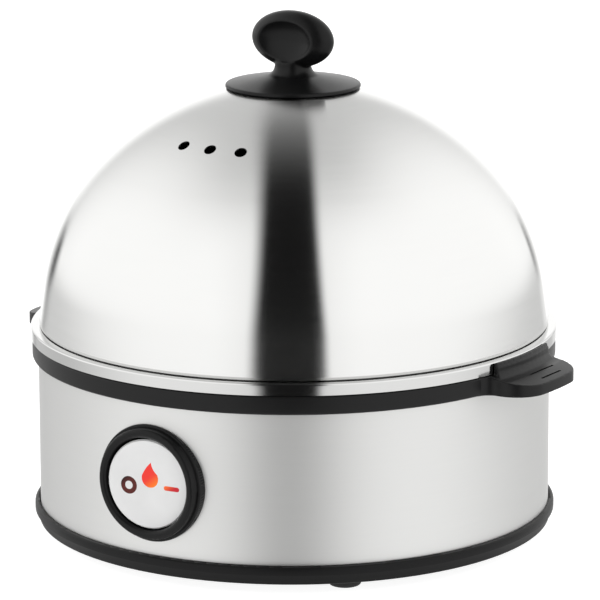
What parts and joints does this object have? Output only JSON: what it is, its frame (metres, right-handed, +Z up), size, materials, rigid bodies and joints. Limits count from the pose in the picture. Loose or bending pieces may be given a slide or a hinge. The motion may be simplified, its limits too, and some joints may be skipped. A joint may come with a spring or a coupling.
{
  "type": "egg cooker",
  "caption": "Electric egg cooker: domed steel lid with knob and vents, egg tray, heated bowl, black collar with two side handles, steel housing and round rocker switch.",
  "frame": {"origin": "on the table under the middle of the object", "axes": "+Z up, the switch faces -Y, +X through the right-hand handle as seen from the front"},
  "size_m": [0.2012, 0.1772, 0.1738],
  "materials": {
    "lid_steel": "brushed",
    "bowl_steel": "satin",
    "zinc_steel": "satin",
    "aluminium": "satin",
    "element_sheath": "satin",
    "brass": "satin",
    "ceramic": "satin",
    "black_plastic": "satin",
    "rubber": "matte",
    "button_silver": "satin",
    "mark_dark": "gloss",
    "mark_red": "gloss",
    "lamp_glass": "gloss"
  },
  "bodies": {
    "base": {"boiling_bowl": "bowl_steel", "bowl_seal": "rubber", "heat_spreader": "aluminium", "heating_element": "element_sheath", "element_bushes": "ceramic", "bowl_studs": "zinc_steel", "retaining_ring": "zinc_steel", "heat_shield": "aluminium", "stud_nuts": "zinc_steel", "thermostat": "black_plastic", "thermostat_bracket": "zinc_steel", "bracket_screws": "zinc_steel", "thermal_fuse": "ceramic", "fuse_clip": "zinc_steel", "collar": "black_plastic", "housing_band": "lid_steel", "base_pan": "black_plastic", "feet": "rubber", "housing_screws": "zinc_steel", "cord_gland": "rubber", "terminal_block": "ceramic", "terminal_screws": "brass", "switch_bezel": "black_plastic", "bezel_nut": "black_plastic", "switch_module": "black_plastic", "switch_blades": "brass", "indicator_lamp": "lamp_glass"},
    "tray": {"egg_tray": "black_plastic"},
    "lid": {"lid_dome": "lid_steel", "lid_knob": "black_plastic", "knob_gasket": "rubber", "knob_insert": "brass", "knob_washer": "zinc_steel", "knob_screw": "zinc_steel"},
    "rocker": {"rocker_button": "button_silver", "off_mark": "mark_dark", "on_mark": "mark_red", "drop_window": "mark_red"}
  },
  "joints": [
    {"name": "tray_lift", "type": "slide", "parent": "base", "child": "tray", "axis": [0, 0, 1], "range_m": [0, 0.08]},
    {"name": "lid_lift", "type": "slide", "parent": "tray", "child": "lid", "axis": [0, 0, 1], "range_m": [0, 0.12]},
    {"name": "rocker_tilt", "type": "hinge", "parent": "base", "child": "rocker", "pos_m": [0, -0.0834, 0.0337], "axis": [0, 0, -1], "range_deg": [0, 10]}
  ]
}
